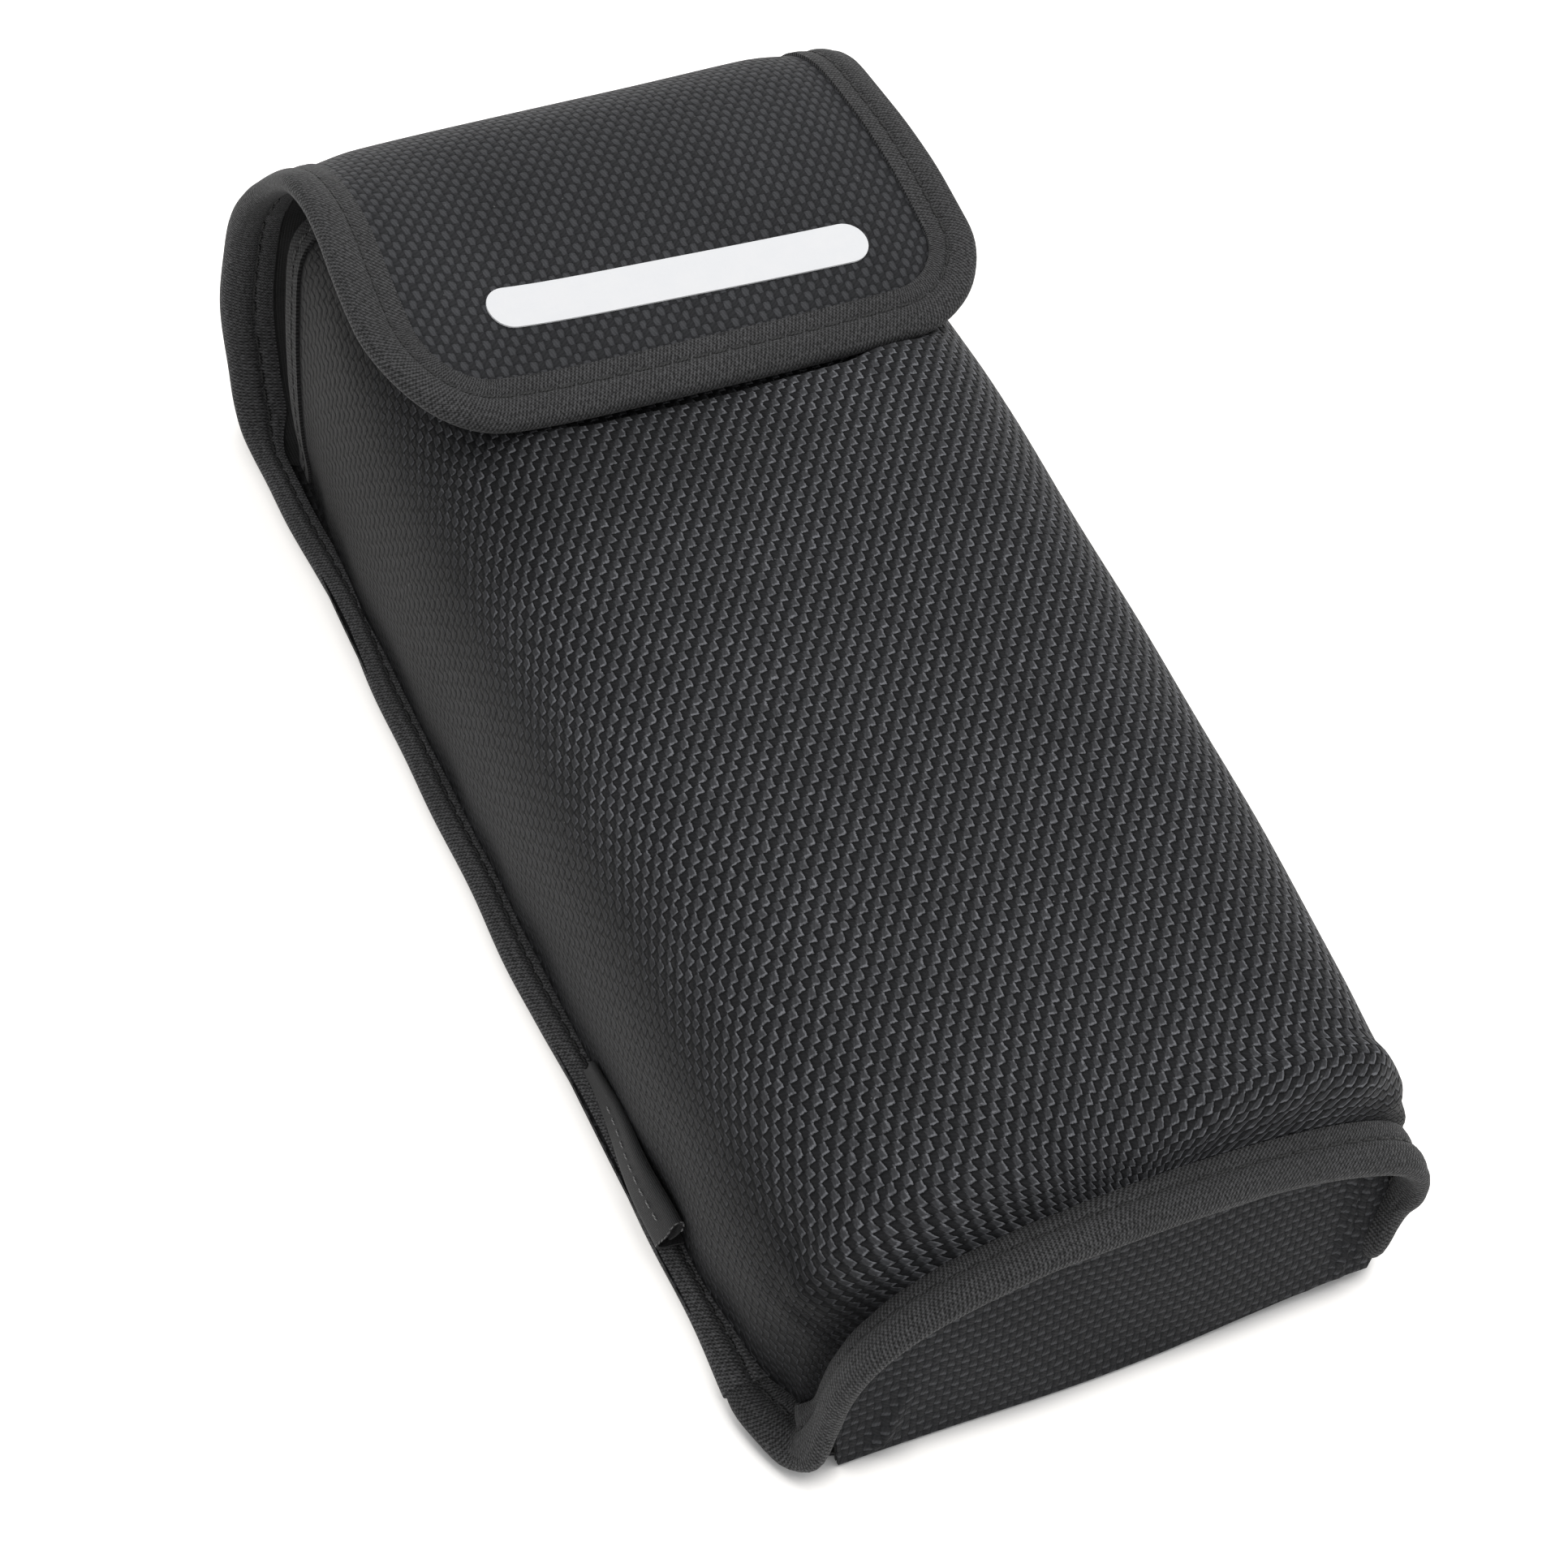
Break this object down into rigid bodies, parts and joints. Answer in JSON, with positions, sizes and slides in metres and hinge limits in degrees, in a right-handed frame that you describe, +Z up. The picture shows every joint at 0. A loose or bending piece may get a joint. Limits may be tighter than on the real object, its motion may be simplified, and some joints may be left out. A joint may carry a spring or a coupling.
{
  "type": "fire-resistant battery pouch",
  "caption": "Padded black fabric pouch lying on its back, bound edges, flap closed over the mouth with hook and loop, for storing and charging a battery pack.",
  "frame": {"origin": "on the floor under the middle of the closed pouch, which lies on its back", "axes": "+Z up from the back panel, +Y from the closed end to the mouth and the flap's folds, +X to the right when seen from the closed end"},
  "size_m": [0.1, 0.2134, 0.0638],
  "materials": {
    "nylon": "heavy basket-woven nylon, slight sheen",
    "tape": "ribbed woven binding tape, matt",
    "padding": "soft foam and wadding",
    "lining": "plain-woven glass cloth, faint gloss",
    "thread": "twisted polyester thread",
    "hook": "hook tape",
    "loop": "loop tape, fuzzy",
    "ribbon": "satin ribbon",
    "label": "flat white print, bare"
  },
  "bodies": {
    "pouch": {"back_cover": "nylon", "back_lining": "lining", "back_padding": "padding", "end_cover": "nylon", "end_lining": "lining", "end_padding": "padding", "end_seam_binding": "tape", "end_seam_stitching": "thread", "front_cover": "nylon", "front_lining": "lining", "front_padding": "padding", "left_seam_binding": "tape", "left_seam_stitching": "thread", "loop_patch": "loop", "loop_patch_stitching": "thread", "mouth_binding": "tape", "mouth_stitching": "thread", "right_seam_binding": "tape", "right_seam_stitching": "thread"},
    "bridge_lower": {"bridge_lower_cover": "nylon", "bridge_lower_left_binding": "tape", "bridge_lower_lining": "lining", "bridge_lower_padding": "padding", "bridge_lower_right_binding": "tape"},
    "bridge_upper": {"bridge_upper_cover": "nylon", "bridge_upper_left_binding": "tape", "bridge_upper_lining": "lining", "bridge_upper_padding": "padding", "bridge_upper_right_binding": "tape"},
    "flap_front": {"flap_cover": "nylon", "flap_padding": "padding", "flap_lining": "lining", "flap_binding": "tape", "flap_stitching": "thread", "hook_patch": "hook", "hook_patch_stitching": "thread", "name_label": "label"},
    "side_tag": {"side_tag": "ribbon"}
  },
  "joints": [
    {"name": "first_fold", "type": "hinge", "parent": "pouch", "child": "bridge_lower", "pos_m": [0, 0.09525, 0], "axis": [-1, 0, 0], "range_deg": [0, 56]},
    {"name": "middle_fold", "type": "hinge", "parent": "bridge_lower", "child": "bridge_upper", "pos_m": [0, 0.10675, 0.029], "axis": [-1, 0, 0], "range_deg": [0, 40]},
    {"name": "flap_fold", "type": "hinge", "parent": "bridge_upper", "child": "flap_front", "pos_m": [0, 0.09125, 0.0638], "axis": [-1, 0, 0], "range_deg": [0, 62]},
    {"name": "tag_flex", "type": "hinge", "parent": "pouch", "child": "side_tag", "pos_m": [-0.0462, -0.05425, 0.00375], "axis": [0, -1, 0], "range_deg": [-15, 62], "stiffness_Nm_per_rad": 0.001}
  ]
}
